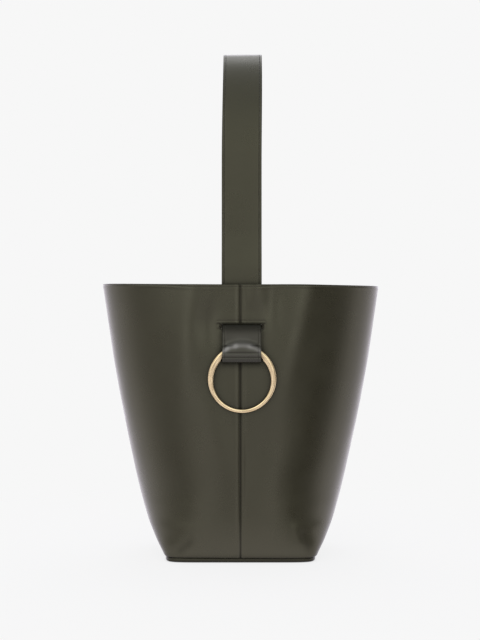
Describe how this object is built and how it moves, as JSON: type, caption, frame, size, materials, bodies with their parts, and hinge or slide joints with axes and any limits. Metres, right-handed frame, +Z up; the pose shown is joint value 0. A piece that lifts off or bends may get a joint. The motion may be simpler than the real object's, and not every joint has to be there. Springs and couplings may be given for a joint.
{
  "type": "bucket bag",
  "caption": "Open-topped leather bucket bag with a wide shoulder strap that passes through slots in the wall and folds round hanging metal rings.",
  "frame": {"origin": "middle of the footprint, on the surface that the bag stands on", "axes": "+Z up; the front faces -Y; +X is to the right as seen from the front, across the strap"},
  "size_m": [0.2898, 0.172, 0.526],
  "materials": {
    "leather": "smooth semi-gloss calf leather, dark olive",
    "strap_leather": "smooth semi-gloss calf leather, dark olive, painted edges",
    "reinforcement": "matt split leather",
    "lining": "matt suede, olive",
    "board": "matt pressed fibreboard",
    "ring_metal": "pale gold plate, circular brushing"
  },
  "bodies": {
    "bag": {"body_panel_left": "leather", "body_panel_right": "leather", "base_panel": "leather", "base_board": "board", "base_lining": "lining", "lining_left": "lining", "lining_right": "lining", "rim_facing": "leather", "front_seam_tape": "reinforcement", "back_seam_tape": "reinforcement", "front_slot_patch": "reinforcement", "back_slot_patch": "reinforcement", "front_slot_welt": "leather", "back_slot_welt": "leather", "strap_front_end": "strap_leather", "strap_back_end": "strap_leather"},
    "strap": {"strap_outer": "strap_leather", "strap_inner": "strap_leather"},
    "front_tab": {"front_tab": "strap_leather"},
    "front_ring": {"front_ring": "ring_metal"},
    "back_tab": {"back_tab": "strap_leather"},
    "back_ring": {"back_ring": "ring_metal"}
  },
  "joints": [
    {"name": "strap_sway", "type": "hinge", "parent": "bag", "child": "strap", "pos_m": [0, 0, 0.3], "axis": [0, 1, 0], "range_deg": [-80, 80]},
    {"name": "front_tab_lift", "type": "hinge", "parent": "bag", "child": "front_tab", "pos_m": [0, -0.0784, 0.237], "axis": [-1, 0, 0], "range_deg": [0, 80]},
    {"name": "front_ring_swing", "type": "hinge", "parent": "front_tab", "child": "front_ring", "pos_m": [0, -0.0808, 0.2128], "axis": [-1, 0, 0], "range_deg": [0, 15]},
    {"name": "back_tab_lift", "type": "hinge", "parent": "bag", "child": "back_tab", "pos_m": [0, 0.0784, 0.237], "axis": [1, 0, 0], "range_deg": [0, 80]},
    {"name": "back_ring_swing", "type": "hinge", "parent": "back_tab", "child": "back_ring", "pos_m": [0, 0.0808, 0.2128], "axis": [1, 0, 0], "range_deg": [0, 15]}
  ]
}
